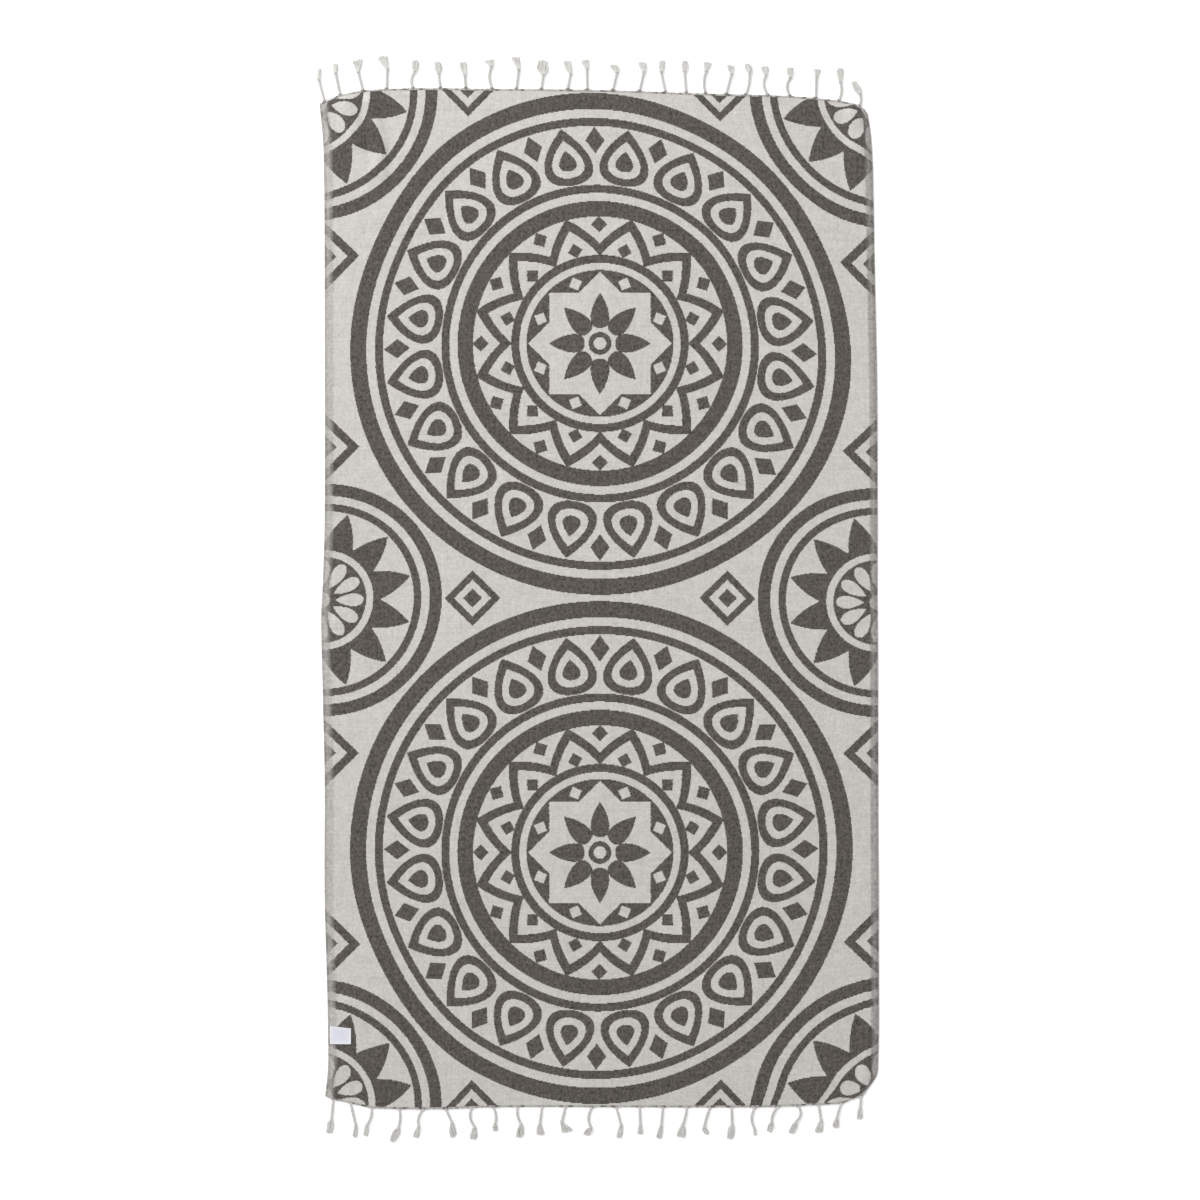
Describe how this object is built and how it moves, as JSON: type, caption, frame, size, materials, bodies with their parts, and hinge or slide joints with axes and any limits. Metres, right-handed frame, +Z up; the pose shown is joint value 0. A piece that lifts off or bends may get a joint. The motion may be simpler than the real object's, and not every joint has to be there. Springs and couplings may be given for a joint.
{
  "type": "hammam towel",
  "caption": "Flat-woven cotton hammam towel laid out flat, face up, with selvedges, knotted tassels along both ends and a bare care label.",
  "frame": {"origin": "the point of the surface it lies on under the middle of the outline of cloth and tassels", "axes": "+Z up from the surface, out of the cloth's face; +Y along the towel to its upper end, away from the end with the care label; +X to the right, away from the label's selvedge"},
  "size_m": [0.967, 1.8718, 0.009],
  "materials": {
    "cloth": "matt two-tone jacquard cotton, charcoal and off-white",
    "fringe": "matt off-white twisted cotton cord",
    "label": "smooth white woven tape"
  },
  "bodies": {
    "root": {"cloth": "cloth", "fringe_top": "fringe", "fringe_bottom": "fringe", "care_label": "label"}
  },
  "joints": []
}
